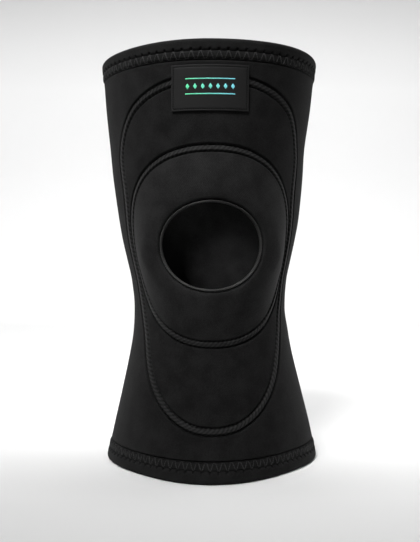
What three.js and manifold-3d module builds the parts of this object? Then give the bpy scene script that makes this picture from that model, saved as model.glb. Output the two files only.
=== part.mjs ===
// Open-patella knee sleeve: a neoprene tube with a moulded cup round an opening for the kneecap.
// Millimetres, +Z up. The origin is the centre of the lower rim, which stands on Z = 0.
// The front faces -Y.
// The front pieces are drawn flat, as a pattern cutter does, and wrapped round the body:
// u is the distance round the body from its front line, v is the height above the lower rim.
import * as THREE from "three";
import { mergeVertices } from "three/addons/utils/BufferGeometryUtils.js";
import Module from "manifold-3d";

// Body
const sleeveHeight = 275;
const kneeHeight = sleeveHeight * 0.3855;
const kneeHalfWidth = 53.2;
const kneeHalfDepth = 56;
const rimHalfWidth = 74.8;
const rimHalfDepth = 76;
const wall = 3;
const gap = 0.3;

// Hems: the end of the tube folded inwards and cover-stitched
const topHemHeight = 12.2;
const bottomHemHeight = 12.9;
const hemThickness = 5.4;
const hemStandout = 0.9;
const hemRestWidth = 1.6;
const hemStitchWidth = 5.2;
const hemChannelDepth = 1.2;

// Seams of the front pieces: a raised cover-stitched rib between two rows of stitches
const seamWidth = 4.8;
const seamHeight = 1.1;
const channelDepth = 1.3;
const channelMargin = 0.5;
const channelShoulder = 0.8;

// Front panel
const panelCentre = 1.5;
const panelTop = sleeveHeight * 0.9145;
const panelBottom = sleeveHeight * 0.1124;
const panelHalfWidth = 68.5;

// Knee cup
const cupCentre = 1.5;
const cupTop = sleeveHeight * 0.7615;
const cupBottom = sleeveHeight * 0.3087;
const cupWidestAt = sleeveHeight * 0.5745;
const cupHalfWidth = 59.4;
const cupFullness = 2.25;
const domeHeight = 10.6;
const sideShoulder = 0.57;
const sideClimb = 0.8;
const endShoulder = 0.84;
const endClimb = 0.97;
const lipWidth = 0.14;
const lipDrop = 1.2;

// Opening for the kneecap
const openingCentre = 0.9;
const openingHeight = sleeveHeight * 0.5382;
const openingHalfWidth = 27.8;
const openingHalfHeight = sleeveHeight * 0.0982;
const rimWidth = 2.4;
const rimThickness = 3.6;

// Label
const labelCentre = 0.3;
const labelWidth = 48;
const labelHeight = 27.5;
const labelTop = sleeveHeight - topHemHeight - 3.6;
const labelThickness = 0.7;
const labelLift = 0.7;

// How finely the faceted surfaces are divided
const bodyColumns = 44;
const bodyRows = 10;
const outlineColumns = 56;
const outlineDetail = 720;

// How far the body has flared from the knee's size (0) to the rim's size (1), on each of its four sides,
// from the knee (at 0) to the rim (at 1). Corners is how far its plan is drawn in between the four sides.
const flareAboveKnee = [
  { at: 0, left: 0, right: 0, front: 0, back: 0, leftCorners: 0, rightCorners: 0 },
  { at: 0.112, left: 0.088, right: 0.05, front: 0.06, back: -0.1, leftCorners: 0, rightCorners: 0 },
  { at: 0.195, left: 0.236, right: 0.176, front: 0.115, back: -0.1, leftCorners: 0, rightCorners: 0 },
  { at: 0.278, left: 0.393, right: 0.31, front: 0.175, back: -0.06, leftCorners: 0, rightCorners: 0 },
  { at: 0.36, left: 0.509, right: 0.421, front: 0.25, back: 0.025, leftCorners: 0, rightCorners: 0 },
  { at: 0.525, left: 0.69, right: 0.551, front: 0.425, back: 0.25, leftCorners: 0, rightCorners: 0 },
  { at: 0.65, left: 0.778, right: 0.62, front: 0.565, back: 0.45, leftCorners: 0, rightCorners: 0 },
  { at: 0.815, left: 0.903, right: 0.81, front: 0.75, back: 0.7, leftCorners: 0.01, rightCorners: -0.01 },
  { at: 1, left: 1, right: 0.951, front: 1, back: 1, leftCorners: 0.022, rightCorners: -0.028 },
];
const flareBelowKnee = [
  { at: 0, left: 0, right: 0, front: 0, back: 0, leftCorners: 0, rightCorners: 0 },
  { at: 0.151, left: 0.03, right: 0.1, front: 0.025, back: 0.05, leftCorners: 0, rightCorners: 0 },
  { at: 0.283, left: 0.134, right: 0.213, front: 0.09, back: 0.175, leftCorners: 0, rightCorners: 0 },
  { at: 0.546, left: 0.417, right: 0.523, front: 0.325, back: 0.45, leftCorners: 0.005, rightCorners: 0.005 },
  { at: 0.81, left: 0.71, right: 0.84, front: 0.675, back: 0.75, leftCorners: 0.035, rightCorners: 0.035 },
  { at: 1, left: 0.885, right: 1, front: 1, back: 1, leftCorners: 0.066, rightCorners: 0.064 },
];

// Right half of the front panel's seam, from its top to its bottom:
// share of the panel's height, share of its half width.
const panelEdge = [
  { up: 1, out: 0 },
  { up: 0.98, out: 0.5 },
  { up: 0.92, out: 0.84 },
  { up: 0.817, out: 1 },
  { up: 0.685, out: 0.96 },
  { up: 0.54, out: 0.949 },
  { up: 0.41, out: 0.88 },
  { up: 0.282, out: 0.775 },
  { up: 0.147, out: 0.652 },
  { up: 0.063, out: 0.482 },
  { up: 0.013, out: 0.248 },
  { up: 0, out: 0 },
];

const clamp = THREE.MathUtils.clamp;
const lerp = THREE.MathUtils.lerp;

// One column of a flare table at a share of the way, on a smooth curve that leaves the knee upright.
function flareAt(rows, column, share) {
  const last = rows.length - 1;
  const at = clamp(share, 0, 1);
  let k = 0;
  while (k < last - 1 && at > rows[k + 1].at) k += 1;
  const slope = (i) => {
    if (i === 0) return 0;
    const low = rows[i - 1];
    const high = rows[Math.min(i + 1, last)];
    return (high[column] - low[column]) / (high.at - low.at);
  };
  const span = rows[k + 1].at - rows[k].at;
  const t = (at - rows[k].at) / span;
  const rise = (3 - 2 * t) * t * t;
  const leave = t * (1 - t) ** 2 * span * slope(k);
  const arrive = t * t * (t - 1) * span * slope(k + 1);
  return lerp(rows[k][column], rows[k + 1][column], rise) + leave + arrive;
}

// The body's plan at a height: the distances from the axis to its outer face on four sides,
// and its drawn-in corners.
function sectionAt(z) {
  const above = z >= kneeHeight;
  const rows = above ? flareAboveKnee : flareBelowKnee;
  const share = above ? (z - kneeHeight) / (sleeveHeight - kneeHeight) : (kneeHeight - z) / kneeHeight;
  const across = (column) => lerp(kneeHalfWidth, rimHalfWidth, flareAt(rows, column, share));
  const deep = (column) => lerp(kneeHalfDepth, rimHalfDepth, flareAt(rows, column, share));
  return {
    left: across("left"),
    right: across("right"),
    front: deep("front"),
    back: deep("back"),
    leftCorners: flareAt(rows, "leftCorners", share),
    rightCorners: flareAt(rows, "rightCorners", share),
  };
}

// A point at an angle round the body from its front, lifted level off its outer face.
function bodyPoint(turn, z, lift) {
  const section = sectionAt(z);
  const across = Math.sin(turn) > 0 ? section.right : section.left;
  const deep = Math.cos(turn) > 0 ? section.front : section.back;
  const corners = Math.sin(turn) > 0 ? section.rightCorners : section.leftCorners;
  const size = 1 - corners * Math.sin(2 * turn) ** 2;
  const growth = -2 * corners * Math.sin(4 * turn);
  const sin = Math.sin(turn);
  const cos = Math.cos(turn);
  const face = new THREE.Vector3(across * sin * size, -deep * cos * size, z);
  const normal = new THREE.Vector3(
    deep * (sin * size - cos * growth),
    -across * (cos * size + sin * growth),
    0,
  ).normalize();
  return face.addScaledVector(normal, lift);
}

// A point of the flat pattern, wrapped round the body.
function wrap(point, lift) {
  const section = sectionAt(point.y);
  const radius = (section.left + section.right) / 4 + section.front / 2;
  return bodyPoint(point.x / radius, point.y, lift);
}

// Outlines are closed lists of flat points, anticlockwise from the top as the pattern is seen.

function panelOutline() {
  const height = panelTop - panelBottom;
  const right = panelEdge.map(
    ({ up, out }) => new THREE.Vector3(panelCentre + out * panelHalfWidth, panelBottom + up * height, 0),
  );
  const left = panelEdge.slice(1, -1).map(
    ({ up, out }) => new THREE.Vector3(panelCentre - out * panelHalfWidth, panelBottom + up * height, 0),
  );
  const curve = new THREE.CatmullRomCurve3([...right, ...left.reverse()].reverse(), true, "centripetal");
  return curve.getSpacedPoints(outlineDetail).slice(1);
}

function cupOutline() {
  return Array.from({ length: outlineDetail }, (_, i) => {
    const angle = (2 * Math.PI * i) / outlineDetail;
    const bend = (value) => Math.sign(value) * Math.abs(value) ** (2 / cupFullness);
    const reach = Math.cos(angle) > 0 ? cupTop - cupWidestAt : cupWidestAt - cupBottom;
    const u = cupCentre - cupHalfWidth * bend(Math.sin(angle));
    return new THREE.Vector3(u, cupWidestAt + reach * bend(Math.cos(angle)), 0);
  });
}

function openingOutline() {
  return Array.from({ length: outlineDetail }, (_, i) => {
    const angle = (2 * Math.PI * i) / outlineDetail;
    const u = openingCentre - openingHalfWidth * Math.sin(angle);
    return new THREE.Vector3(u, openingHeight + openingHalfHeight * Math.cos(angle), 0);
  });
}

// The outline moved outwards by a distance.
function grown(outline, distance) {
  const count = outline.length;
  return outline.map((point, i) => {
    const along = outline[(i + 1) % count].clone().sub(outline[(i + count - 1) % count]);
    return point.clone().add(new THREE.Vector3(along.y, -along.x, 0).setLength(distance));
  });
}

// Where rays from the opening's centre meet the outline.
// They are closest together towards its top and bottom.
function rayPoints(outline) {
  const centre = new THREE.Vector3(openingCentre, openingHeight, 0);
  const polar = outline
    .map((point) => {
      const away = point.clone().sub(centre);
      return { angle: (Math.atan2(-away.x, away.y) + 2 * Math.PI) % (2 * Math.PI), away: away.length() };
    })
    .sort((a, b) => a.angle - b.angle);
  const first = polar[0];
  const last = polar[polar.length - 1];
  polar.push({ angle: first.angle + 2 * Math.PI, away: first.away });
  polar.unshift({ angle: last.angle - 2 * Math.PI, away: last.away });
  return Array.from({ length: outlineColumns }, (_, i) => {
    const even = (2 * Math.PI * i) / outlineColumns;
    const angle = even - 0.2 * Math.sin(2 * even);
    const next = polar.findIndex((p) => p.angle > angle);
    const share = (angle - polar[next - 1].angle) / (polar[next].angle - polar[next - 1].angle);
    const away = lerp(polar[next - 1].away, polar[next].away, share);
    return new THREE.Vector3(centre.x - away * Math.sin(angle), centre.y + away * Math.cos(angle), 0);
  });
}

// A solid from loops of points with equal counts, each joined to the next.
// A closed tube joins its last loop to its first; otherwise the first and last loops are flat caps.
function loopSolid(loops, closed) {
  const count = loops[0].length;
  const positions = loops.flat().flatMap((point) => point.toArray());
  const faces = [];
  const strips = closed ? loops.length : loops.length - 1;
  for (let k = 0; k < strips; k += 1) {
    const next = (k + 1) % loops.length;
    for (let i = 0; i < count; i += 1) {
      const j = (i + 1) % count;
      faces.push(k * count + i, k * count + j, next * count + j);
      faces.push(k * count + i, next * count + j, next * count + i);
    }
  }
  const geometry = new THREE.BufferGeometry();
  geometry.setAttribute("position", new THREE.Float32BufferAttribute(positions, 3));
  geometry.setIndex(faces);
  return facingOut(geometry);
}

// The geometry with its faces turned outwards, if its volume comes out negative.
function facingOut(geometry) {
  const at = geometry.getAttribute("position");
  const index = geometry.getIndex().array;
  const corner = (i) => new THREE.Vector3().fromBufferAttribute(at, index[i]);
  let volume = 0;
  for (let i = 0; i < index.length; i += 3) volume += corner(i).dot(corner(i + 1).cross(corner(i + 2)));
  if (volume < 0) {
    for (let i = 0; i < index.length; i += 3) [index[i + 1], index[i + 2]] = [index[i + 2], index[i + 1]];
  }
  geometry.computeVertexNormals();
  return geometry;
}

// A curved sheet between an outer and an inner ring of the pattern, through rings of { points, lift, back }.
// lift and back are the heights of its outer and inner faces over the body:
// a number, or a list of one for each point.
function sheetSolid(rings) {
  const height = (value, i) => (Array.isArray(value) ? value[i] : value);
  const outer = rings.map((ring) => ring.points.map((point, i) => wrap(point, height(ring.lift, i))));
  const inner = rings.map((ring) => ring.points.map((point, i) => wrap(point, height(ring.back, i))));
  return loopSolid([...outer, ...inner.reverse()], true);
}

// Everything inside an outline, between the first and the last of a list of heights over the body.
function regionSolid(outline, heights) {
  const centre = new THREE.Vector3(openingCentre, openingHeight, 0);
  const edge = rayPoints(outline);
  const ring = (share, height) => edge.map((point) => wrap(centre.clone().lerp(point, share), height));
  const inwards = [0, 0.25, 0.5, 0.75];
  const lid = inwards.map((share) => ring(share, heights[0]));
  const side = heights.map((height) => ring(1, height));
  const floor = inwards.map((share) => ring(share, heights[heights.length - 1])).reverse();
  return loopSolid([...lid, ...side, ...floor], false);
}

// Booleans
const wasm = await Module();
wasm.setup();

function toSolid(geometry) {
  const bare = new THREE.BufferGeometry();
  bare.setAttribute("position", geometry.getAttribute("position"));
  bare.setIndex(geometry.getIndex());
  const merged = mergeVertices(bare, 1e-4);
  const vertProperties = new Float32Array(merged.getAttribute("position").array);
  const triVerts = new Uint32Array(merged.getIndex().array);
  return new wasm.Manifold(new wasm.Mesh({ numProp: 3, vertProperties, triVerts }));
}

function toGeometry(solid) {
  const mesh = solid.getMesh();
  const geometry = new THREE.BufferGeometry();
  geometry.setAttribute("position", new THREE.Float32BufferAttribute(mesh.vertProperties, 3));
  geometry.setIndex(Array.from(mesh.triVerts));
  geometry.computeVertexNormals();
  return geometry;
}

// Pieces

const panelSeam = panelOutline();
const cupSeam = cupOutline();
const openingEdge = openingOutline();
const channelHalf = seamWidth / 2 + channelMargin;

// The tube between the two hems, with the front panel's place cut out and a channel for its seam.
function shellGeometry() {
  const low = bottomHemHeight + gap / 2;
  const high = sleeveHeight - topHemHeight - gap / 2;
  const ring = (z, lift) =>
    Array.from({ length: bodyColumns }, (_, i) => bodyPoint((2 * Math.PI * i) / bodyColumns, z, lift));
  const heights = Array.from({ length: bodyRows + 1 }, (_, k) => lerp(low, high, k / bodyRows));
  const outer = heights.map((z) => ring(z, 0));
  const inner = heights.map((z) => ring(z, -wall));
  const tube = toSolid(loopSolid([...outer, ...inner.reverse()], true));
  const cutHeights = [2 * wall, 0, -channelDepth, -wall, -2 * wall];
  const opening = toSolid(regionSolid(grown(panelSeam, gap / 2), cutHeights));
  const channel = toSolid(regionSolid(grown(panelSeam, channelHalf), [2 * wall, 0, -channelDepth]));
  return toGeometry(tube.subtract(opening).subtract(channel));
}

// Each point of a ring moved towards the other ring as far as a third ring,
// but at most by a share of the way.
function inset(start, end, stop, most) {
  return start.map((point, i) => {
    const share = point.distanceTo(stop[i]) / point.distanceTo(end[i]);
    return point.clone().lerp(end[i], Math.min(share, most));
  });
}

// The panel between the outer seam and the knee cup's seam, thinned under both.
function frontPanelGeometry() {
  const outer = rayPoints(grown(panelSeam, -gap / 2));
  const inner = rayPoints(grown(cupSeam, gap / 2));
  const full = channelHalf + channelShoulder;
  const outerInset = (distance, most) => inset(outer, inner, rayPoints(grown(panelSeam, -distance)), most);
  const innerInset = (distance, most) => inset(inner, outer, rayPoints(grown(cupSeam, distance)), most);
  const crest = outer.map((point, i) => {
    const spare = point.distanceTo(inner[i]) - 2 * channelHalf;
    return -channelDepth * (1 - clamp(spare / (4 * channelShoulder), 0, 1));
  });
  const rings = [
    { points: outer, lift: -channelDepth },
    { points: outerInset(channelHalf, 0.42), lift: -channelDepth },
    { points: outerInset(full, 0.48), lift: crest },
    { points: outer.map((point, i) => point.clone().lerp(inner[i], 0.5)), lift: crest },
    { points: innerInset(full, 0.48), lift: crest },
    { points: innerInset(channelHalf, 0.42), lift: -channelDepth },
    { points: inner, lift: -channelDepth },
  ];
  return sheetSolid(rings.map((ring) => ({ ...ring, back: -wall })));
}

// How far a point of the knee cup lies beside the opening's centre (1) rather than above or below it (0).
function sidewaysOf(point) {
  const away = point.clone().sub(new THREE.Vector3(openingCentre, openingHeight, 0));
  return Math.abs(away.x) / away.length();
}

// How far the knee cup stands off the body, from its seam (0) to the opening's rim (1).
// A flank climbs to a shoulder, low at the knee's sides, and a flatter face leads on to a dipping lip.
function domeRise(share, sideways) {
  const side = sideways ** 6;
  const shoulder = lerp(endShoulder, sideShoulder, side);
  const climb = lerp(endClimb, sideClimb, side);
  const flank = (climb * share) / shoulder;
  const face = lerp(climb, 1, (share - shoulder) / (1 - shoulder));
  const dip = Math.max(0, (share - 1 + lipWidth) / lipWidth) ** 2;
  return domeHeight * Math.min(flank, face) - lipDrop * dip;
}

function kneeCupGeometry() {
  const seam = rayPoints(grown(cupSeam, -gap / 2));
  const edge = rayPoints(grown(openingEdge, rimWidth + gap / 2));
  const widths = seam.map((point, i) => point.distanceTo(edge[i]));
  const sideways = seam.map(sidewaysOf);
  const ring = (shares, sunk) => ({
    points: seam.map((point, i) => point.clone().lerp(edge[i], shares[i])),
    lift: shares.map((share, i) => domeRise(share, sideways[i]) - sunk),
    back: shares.map((share, i) => domeRise(share, sideways[i]) - wall),
  });
  const shareOf = (distance) => widths.map((width) => distance / width);
  const even = (share) => widths.map(() => share);
  return sheetSolid([
    ring(even(0), channelDepth),
    ring(shareOf(channelHalf), channelDepth),
    ring(shareOf(channelHalf + channelShoulder), 0),
    ring(even(0.3), 0),
    ring(even(0.48), 0),
    ring(even(0.65), 0),
    ring(even(1 - lipWidth), 0),
    ring(even(1), 0),
  ]);
}

// The rolled edge of the opening, seated against the knee cup's edge.
function openingRimGeometry() {
  const middle = rayPoints(grown(openingEdge, rimWidth / 2 - gap / 4));
  const centre = new THREE.Vector3(openingCentre, openingHeight, 0);
  const sides = 6;
  const halfWidth = rimWidth / 2 - gap / 4;
  const height = domeHeight - lipDrop - wall / 2;
  const loops = middle.map((point) => {
    const outwards = point.clone().sub(centre).normalize();
    return Array.from({ length: sides }, (_, k) => {
      const angle = (2 * Math.PI * (k + 0.5)) / sides;
      const spread = Math.cos(Math.PI / sides);
      const across = outwards.clone().multiplyScalar((halfWidth * Math.cos(angle)) / spread);
      return wrap(point.clone().add(across), height + ((rimThickness / 2) * Math.sin(angle)) / spread);
    });
  });
  return loopSolid(loops, true);
}

// A seam's raised rib along an outline, standing a gap clear in its channel.
function seamGeometry(outline, riseOf) {
  const half = seamWidth / 2;
  const foot = gap - channelDepth;
  const profile = [
    { across: -half, up: foot },
    { across: -half, up: foot + seamHeight * 0.5 },
    { across: -half * 0.55, up: foot + seamHeight },
    { across: half * 0.55, up: foot + seamHeight },
    { across: half, up: foot + seamHeight * 0.5 },
    { across: half, up: foot },
  ];
  const rails = profile.map(({ across, up }) =>
    rayPoints(grown(outline, across)).map((point) => wrap(point, up + riseOf(across, sidewaysOf(point)))),
  );
  return loopSolid(rails, true);
}

// How far a point this far outside the knee cup's seam is raised by the cup's flank.
function flankRise(across, sideways) {
  const reach = cupHalfWidth - openingHalfWidth - rimWidth;
  return across < 0 ? domeRise(-across / reach, sideways) : 0;
}

// A folded hem. Its outer face has a channel for the stitching.
// Its fold is rounded, with a flat to stand on.
function hemGeometry(edgeHeight, inwards, hemHeight) {
  const round = (hemThickness - hemRestWidth) / 2;
  const outside = hemStandout;
  const inside = hemStandout - hemThickness;
  const stitchTop = hemHeight - hemStitchWidth - channelMargin;
  const profile = [
    { lift: outside - hemChannelDepth, in: hemHeight - gap / 2 },
    { lift: outside - hemChannelDepth, in: stitchTop },
    { lift: outside, in: stitchTop - channelShoulder },
    { lift: outside, in: round },
    { lift: outside - round * 0.29, in: round * 0.29 },
    { lift: outside - round, in: 0 },
    { lift: inside + round, in: 0 },
    { lift: inside + round * 0.29, in: round * 0.29 },
    { lift: inside, in: round },
    { lift: inside, in: hemHeight - gap / 2 },
  ];
  return hoopGeometry(profile, edgeHeight, inwards);
}

// A hoop round the body from a section of { lift, in }.
// in is the distance from the rim towards the middle.
function hoopGeometry(profile, edgeHeight, inwards) {
  const loops = profile.map((corner) =>
    Array.from({ length: bodyColumns }, (_, i) =>
      bodyPoint((2 * Math.PI * i) / bodyColumns, edgeHeight + inwards * corner.in, corner.lift),
    ),
  );
  return loopSolid(loops, true);
}

// The raised band of zigzag cover stitching on a hem.
function hemStitchingGeometry(edgeHeight, inwards, hemHeight) {
  const foot = hemStandout - hemChannelDepth + gap;
  const far = hemHeight - gap;
  const near = far - hemStitchWidth + gap;
  const bevel = (far - near) * 0.2;
  const profile = [
    { lift: foot, in: far },
    { lift: foot + (hemStandout - foot) * 0.5, in: far },
    { lift: hemStandout, in: far - bevel },
    { lift: hemStandout, in: near + bevel },
    { lift: foot + (hemStandout - foot) * 0.5, in: near },
    { lift: foot, in: near },
  ];
  return hoopGeometry(profile, edgeHeight, inwards);
}

// The sewn-on label, a thin sheet that follows the body over the top of the panel's seam.
function labelGeometry() {
  const columns = 8;
  const rows = 3;
  const corner = (i, k) =>
    new THREE.Vector3(
      labelCentre + labelWidth * (i / columns - 0.5),
      labelTop - labelHeight * (k / rows),
      0,
    );
  const loop = (k) => {
    const front = Array.from({ length: columns + 1 }, (_, i) => wrap(corner(i, k), labelLift + labelThickness));
    const back = Array.from({ length: columns + 1 }, (_, i) => wrap(corner(i, k), labelLift));
    return [...front, ...back.reverse()];
  };
  const loops = Array.from({ length: rows + 1 }, (_, k) => loop(k));
  return cappedSolid(loops, columns);
}

// A solid through loops that each run out along a front edge and back along a back edge, closed at both ends.
function cappedSolid(loops, columns) {
  const count = loops[0].length;
  const geometry = loopSolid(loops, false);
  const faces = Array.from(geometry.getIndex().array);
  const flipped = faces[1] !== 1;
  const cap = (start, turned) => {
    for (let i = 0; i < columns; i += 1) {
      const corners = [start + i, start + i + 1, start + count - 2 - i, start + count - 1 - i];
      if (turned) corners.reverse();
      faces.push(corners[0], corners[1], corners[2], corners[0], corners[2], corners[3]);
    }
  };
  cap(0, !flipped);
  cap((loops.length - 1) * count, flipped);
  geometry.setIndex(faces);
  return facingOut(geometry);
}

// Materials
const jersey = new THREE.MeshStandardMaterial({ color: "#1d1d1e", roughness: 0.85, metalness: 0 });
const padJersey = new THREE.MeshStandardMaterial({ color: "#202021", roughness: 0.8, metalness: 0 });
const thread = new THREE.MeshStandardMaterial({ color: "#262627", roughness: 0.75, metalness: 0 });
const satin = new THREE.MeshStandardMaterial({ color: "#242425", roughness: 0.55, metalness: 0 });

const sleeve = new THREE.Group();

function add(name, geometry, material) {
  const mesh = new THREE.Mesh(geometry, material);
  mesh.name = name;
  sleeve.add(mesh);
}

add("sleeve_shell", shellGeometry(), jersey);
add("front_panel", frontPanelGeometry(), jersey);
add("knee_cup", kneeCupGeometry(), padJersey);
add("opening_rim", openingRimGeometry(), thread);
add("panel_seam", seamGeometry(panelSeam, () => 0), thread);
add("cup_seam", seamGeometry(cupSeam, flankRise), thread);
add("top_hem", hemGeometry(sleeveHeight, -1, topHemHeight), jersey);
add("bottom_hem", hemGeometry(0, 1, bottomHemHeight), jersey);
add("top_hem_stitching", hemStitchingGeometry(sleeveHeight, -1, topHemHeight), thread);
add("bottom_hem_stitching", hemStitchingGeometry(0, 1, bottomHemHeight), thread);
add("label", labelGeometry(), satin);

export default sleeve;
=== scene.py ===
# Open-patella knee sleeve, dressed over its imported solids. Distances in the dictionaries are millimetres.
# The cloth is laid out flat, u round the body from its front line and v up from the lower rim, then wrapped.
import math

import bpy
import numpy as np
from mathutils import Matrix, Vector
from mathutils.kdtree import KDTree


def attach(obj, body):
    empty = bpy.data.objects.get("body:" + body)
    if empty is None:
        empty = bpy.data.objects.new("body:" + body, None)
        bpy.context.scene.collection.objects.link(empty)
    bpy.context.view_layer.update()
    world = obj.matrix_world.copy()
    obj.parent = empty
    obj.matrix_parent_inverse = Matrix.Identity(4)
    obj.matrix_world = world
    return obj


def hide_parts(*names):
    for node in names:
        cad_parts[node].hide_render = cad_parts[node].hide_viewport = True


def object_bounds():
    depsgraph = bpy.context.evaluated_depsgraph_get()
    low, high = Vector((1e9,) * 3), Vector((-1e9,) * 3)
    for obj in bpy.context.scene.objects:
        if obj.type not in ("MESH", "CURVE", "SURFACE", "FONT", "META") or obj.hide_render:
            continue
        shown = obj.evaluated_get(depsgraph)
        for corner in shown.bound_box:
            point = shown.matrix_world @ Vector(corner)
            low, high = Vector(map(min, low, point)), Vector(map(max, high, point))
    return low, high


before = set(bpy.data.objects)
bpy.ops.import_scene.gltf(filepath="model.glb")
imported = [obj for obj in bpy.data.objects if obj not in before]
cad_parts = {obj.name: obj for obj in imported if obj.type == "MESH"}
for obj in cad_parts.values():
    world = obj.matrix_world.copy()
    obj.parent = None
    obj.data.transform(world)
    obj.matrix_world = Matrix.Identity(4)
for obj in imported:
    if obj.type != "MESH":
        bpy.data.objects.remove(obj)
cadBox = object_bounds()
bpy.ops.object.select_all(action="DESELECT")
print("stage: frame loaded,", len(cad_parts), "CAD nodes")

millimetre = 0.001
mergeDistance = 1e-6
sleeveHeight = (cadBox[1].z - cadBox[0].z) / millimetre

# body form
bodyForm = {
    "kneeHeight": sleeveHeight * 0.3855,
    "kneeHalfWidth": 53.2,
    "kneeHalfDepth": 56,
    "rimHalfWidth": 74.8,
    "rimHalfDepth": 76,
    "wall": 3,
    "unevenness": 0.22,  # how far the stretched cloth wanders from the form
}
# How far the body has flared from the knee's size (0) to the rim's (1) on its four sides,
# and how far its plan is drawn in between them.
flareAboveKnee = {
    "at": (0, 0.112, 0.195, 0.278, 0.36, 0.525, 0.65, 0.815, 1),
    "left": (0, 0.088, 0.236, 0.393, 0.509, 0.69, 0.778, 0.903, 1),
    "right": (0, 0.05, 0.176, 0.31, 0.421, 0.551, 0.62, 0.81, 0.951),
    "front": (0, 0.06, 0.115, 0.175, 0.25, 0.425, 0.565, 0.75, 1),
    "back": (0, -0.1, -0.1, -0.06, 0.025, 0.25, 0.45, 0.7, 1),
    "leftCorners": (0, 0, 0, 0, 0, 0, 0, 0.01, 0.022),
    "rightCorners": (0, 0, 0, 0, 0, 0, 0, -0.01, -0.028),
}
flareBelowKnee = {
    "at": (0, 0.151, 0.283, 0.546, 0.81, 1),
    "left": (0, 0.03, 0.134, 0.417, 0.71, 0.885),
    "right": (0, 0.1, 0.213, 0.523, 0.84, 1),
    "front": (0, 0.025, 0.09, 0.325, 0.675, 1),
    "back": (0, 0.05, 0.175, 0.45, 0.75, 1),
    "leftCorners": (0, 0, 0, 0.005, 0.035, 0.066),
    "rightCorners": (0, 0, 0, 0.005, 0.035, 0.064),
}


def smoothColumn(table, column, share):
    # a smooth curve through the table's rows that leaves the knee upright
    at, values = np.array(table["at"], float), np.array(table[column], float)
    slopes = np.zeros(len(at))
    slopes[1:-1] = (values[2:] - values[:-2]) / (at[2:] - at[:-2])
    slopes[-1] = (values[-1] - values[-2]) / (at[-1] - at[-2])
    k = np.clip(np.searchsorted(at, share, side="right") - 1, 0, len(at) - 2)
    span = at[k + 1] - at[k]
    t = (share - at[k]) / span
    rise = (3 - 2 * t) * t * t
    bend = t * (1 - t) ** 2 * span * slopes[k] + t * t * (t - 1) * span * slopes[k + 1]
    return values[k] * (1 - rise) + values[k + 1] * rise + bend


def sectionAt(z):
    # the body's plan at each height: distances from the axis to its outer face
    knee = bodyForm["kneeHeight"]
    above = np.clip((z - knee) / (sleeveHeight - knee), 0, 1)
    below = np.clip((knee - z) / knee, 0, 1)
    plan = {}
    for column in ("left", "right", "front", "back", "leftCorners", "rightCorners"):
        upper = smoothColumn(flareAboveKnee, column, above)
        lower = smoothColumn(flareBelowKnee, column, below)
        plan[column] = np.where(z >= knee, upper, lower)
    width = bodyForm["rimHalfWidth"] - bodyForm["kneeHalfWidth"]
    depth = bodyForm["rimHalfDepth"] - bodyForm["kneeHalfDepth"]
    for column in ("left", "right"):
        plan[column] = bodyForm["kneeHalfWidth"] + plan[column] * width
    for column in ("front", "back"):
        plan[column] = bodyForm["kneeHalfDepth"] + plan[column] * depth
    return plan


def bodyPoint(turn, z, lift):
    # metres, at an angle round the body from its front, lifted level off its outer face
    plan = sectionAt(z)
    sin, cos = np.sin(turn), np.cos(turn)
    across = np.where(sin > 0, plan["right"], plan["left"])
    deep = np.where(cos > 0, plan["front"], plan["back"])
    corners = np.where(sin > 0, plan["rightCorners"], plan["leftCorners"])
    size = 1 - corners * np.sin(2 * turn) ** 2
    growth = -2 * corners * np.sin(4 * turn)
    normalX = deep * (sin * size - cos * growth)
    normalY = -across * (cos * size + sin * growth)
    length = np.hypot(normalX, normalY)
    # slow waves of the stretched cloth, three and five to the round
    wander = np.sin(3 * turn + z / 41 + 0.7) * np.sin(z / 37 + 1.3) + 0.7 * np.sin(5 * turn - z / 29)
    lift = lift + bodyForm["unevenness"] * wander
    x = across * sin * size + lift * normalX / length
    y = -deep * cos * size + lift * normalY / length
    return np.stack([x, y, z + 0 * x], axis=-1) * millimetre


def wrapRadius(v):
    plan = sectionAt(v)
    return (plan["left"] + plan["right"]) / 4 + plan["front"] / 2


def wrap(point, lift):
    # flat (u, v) points laid on the body
    u, v = point[:, 0], point[:, 1]
    return bodyPoint(u / wrapRadius(v), v, lift)


def unit(vectors):
    return vectors / np.linalg.norm(vectors, axis=1, keepdims=True)


def between(first, last, share):
    return first * (1 - share[:, None]) + last * share[:, None]


# pattern outlines
panelPattern = {
    "centre": 1.5,
    "top": sleeveHeight * 0.9145,
    "bottom": sleeveHeight * 0.1124,
    "halfWidth": 68.5,
    # right half, from its top to its bottom: shares of its height and of its half width
    "up": (1, 0.98, 0.92, 0.817, 0.685, 0.54, 0.41, 0.282, 0.147, 0.063, 0.013, 0),
    "out": (0, 0.5, 0.84, 1, 0.96, 0.949, 0.88, 0.775, 0.652, 0.482, 0.248, 0),
}
cupPattern = {
    "centre": 1.5,
    "top": sleeveHeight * 0.7615,
    "bottom": sleeveHeight * 0.3087,
    "widestAt": sleeveHeight * 0.5745,
    "halfWidth": 59.4,
    "fullness": 2.25,
}
openingPattern = {
    "centre": 0.9,
    "height": sleeveHeight * 0.5382,
    "halfWidth": 27.8,
    "halfHeight": sleeveHeight * 0.0982,
}
outlineDetail = 2880
rayCrowding = 0.2  # how much closer the rays from the opening's centre stand at its top and bottom


def closedRing(points):
    return np.vstack([points, points[:1]])


def walkedAlong(points):
    # the distance walked to each point of a path
    return np.concatenate([[0], np.cumsum(np.linalg.norm(np.diff(points, axis=0), axis=1))])


def evenly(points, count):
    # a closed outline walked in equal steps
    closed = closedRing(points)
    walked = walkedAlong(closed)
    steps = np.linspace(0, walked[-1], count, endpoint=False)
    return np.stack([np.interp(steps, walked, closed[:, i]) for i in (0, 1)], axis=1)


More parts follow.
